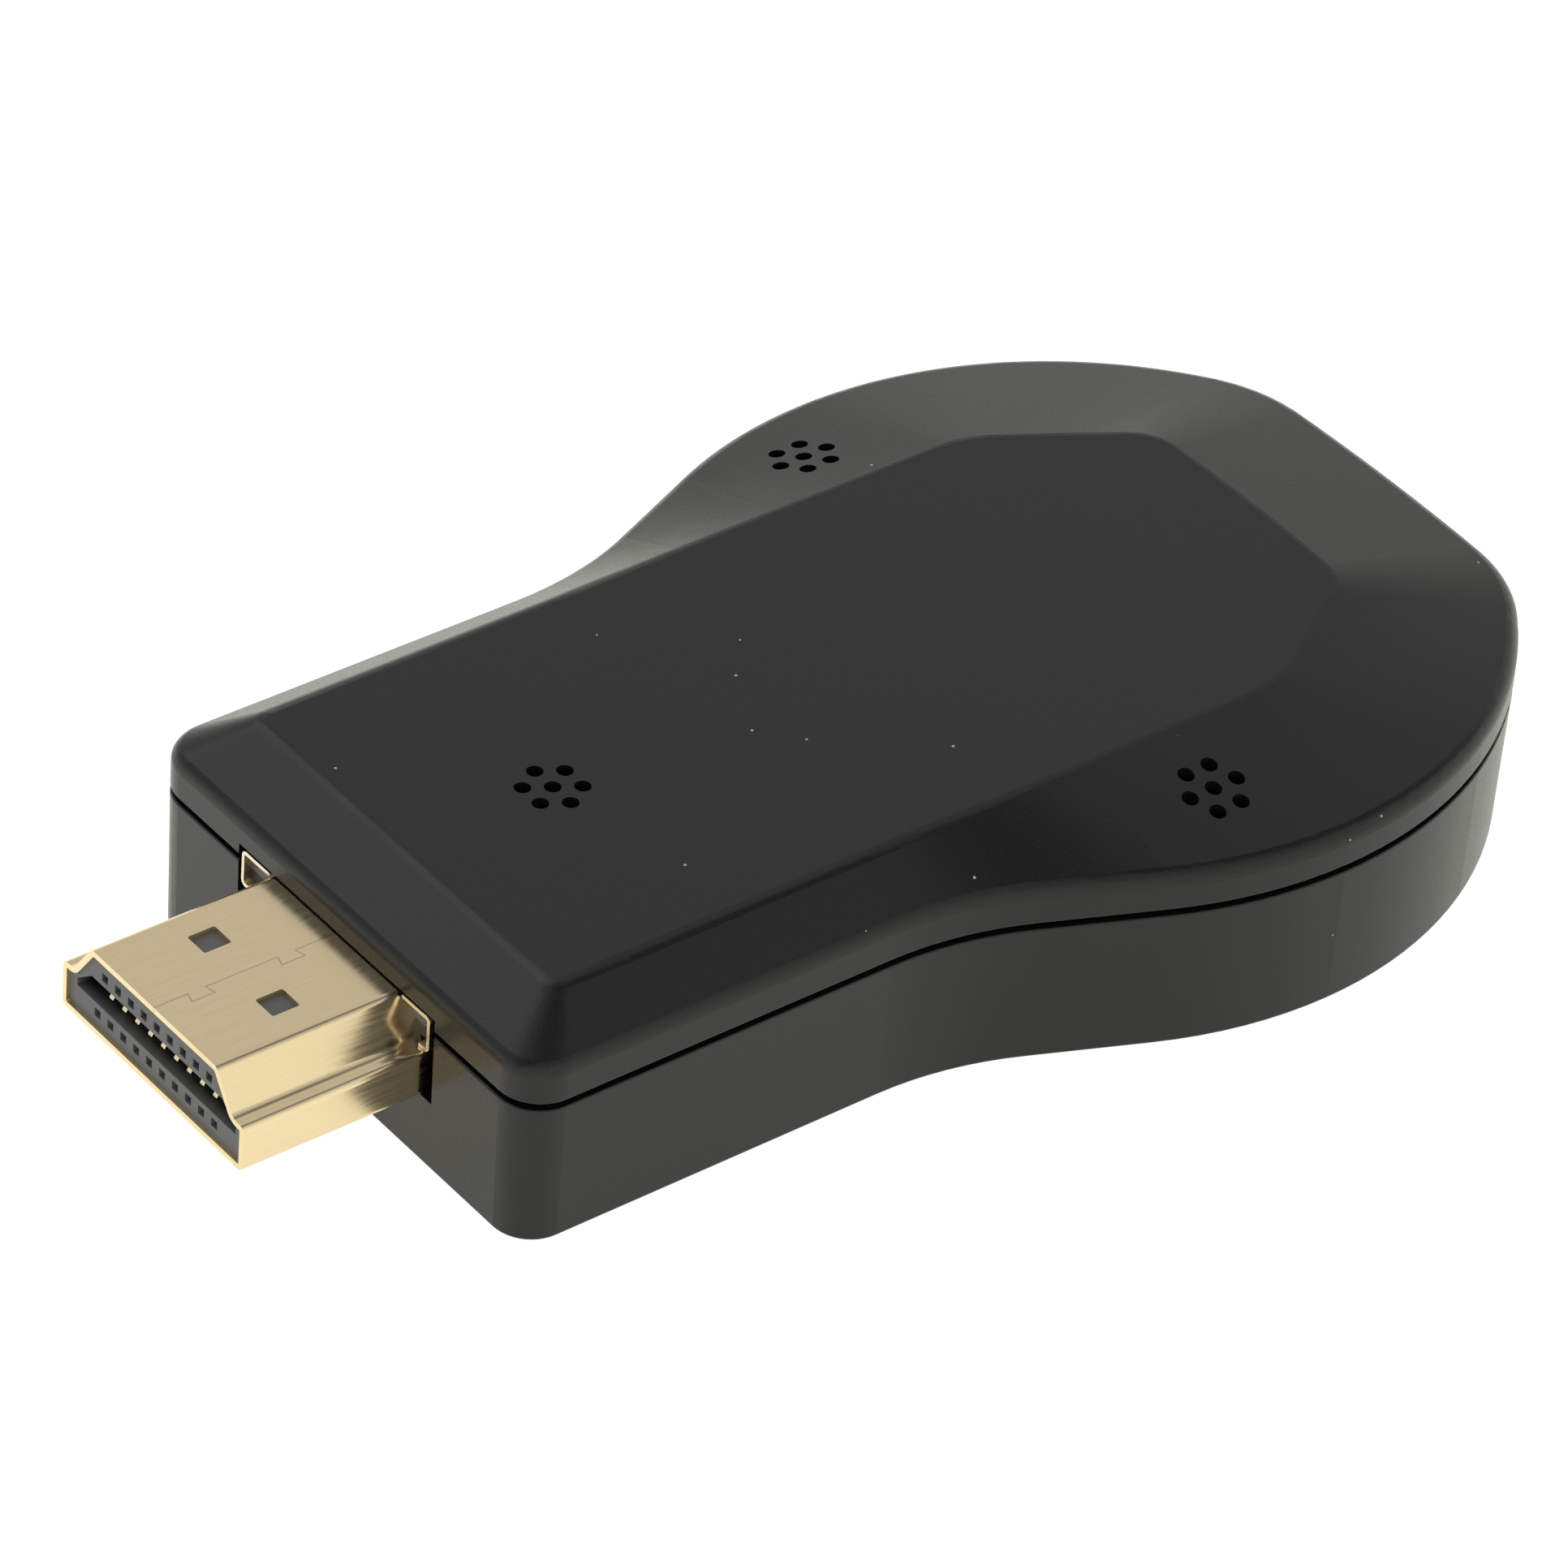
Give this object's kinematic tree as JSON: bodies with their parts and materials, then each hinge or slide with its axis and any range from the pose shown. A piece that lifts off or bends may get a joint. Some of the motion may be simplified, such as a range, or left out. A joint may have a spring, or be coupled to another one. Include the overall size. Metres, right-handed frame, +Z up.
{
  "type": "wireless display adapter",
  "caption": "Keyhole-shaped stick with a display plug at one end, a power socket at the other and a side button.",
  "frame": {"origin": "middle of the whole object's footprint, on the underside's plane", "axes": "+Z up through the raised top, -Y the way the display plug points, +X to the right seen from above with the plug at the bottom"},
  "size_m": [0.04, 0.0708, 0.0116],
  "materials": {
    "case_plastic": "fine-textured black moulded ABS",
    "gold_plate": "gold-plated formed sheet, satin",
    "contact_gold": "gold-plated spring contacts",
    "plug_insulator_plastic": "blue-grey moulded plastic",
    "bright_steel": "tin-plated sheet steel",
    "black_moulding": "black moulded plastic",
    "board_laminate": "green solder mask on glass-epoxy laminate",
    "chip_resin": "black moulding resin",
    "thermal_rubber": "soft grey silicone",
    "anodised_aluminium": "satin",
    "ferrite": "dark sintered ferrite",
    "tantalum_case": "ochre moulded case",
    "lamp_epoxy": "clear epoxy",
    "clear_plastic": "clear acrylic",
    "button_plastic": "black moulded plastic"
  },
  "bodies": {
    "adapter": {"antenna": "bright_steel", "board_screws": "bright_steel", "bulk_capacitors": "tantalum_case", "chip_capacitors": "tantalum_case", "chip_resistors": "chip_resin", "crystal": "bright_steel", "flash_chip": "chip_resin", "heat_sink": "anodised_aluminium", "light_pipe": "clear_plastic", "line_filters": "chip_resin", "lower_shell": "case_plastic", "main_board": "board_laminate", "memory_chips": "chip_resin", "plug_insulator": "plug_insulator_plastic", "plug_lower_contacts": "contact_gold", "plug_shell": "gold_plate", "plug_sleeve": "gold_plate", "plug_upper_contacts": "contact_gold", "power_inductor": "ferrite", "power_socket_contacts": "contact_gold", "power_socket_insulator": "black_moulding", "power_socket_shell": "bright_steel", "processor_chip": "chip_resin", "radio_board": "board_laminate", "radio_chip": "chip_resin", "radio_shield": "bright_steel", "status_lamp": "lamp_epoxy", "switch_cover": "bright_steel", "switch_dome": "bright_steel", "switch_housing": "black_moulding", "thermal_pad": "thermal_rubber", "upper_shell": "case_plastic", "voltage_regulator": "chip_resin"},
    "button": {"mode_button": "button_plastic", "switch_plunger": "black_moulding"}
  },
  "joints": [
    {"name": "mode_button_press", "type": "slide", "parent": "adapter", "child": "button", "axis": [1, 0, 0], "range_m": [0, 0.00025], "stiffness_N_per_m": 6000}
  ]
}
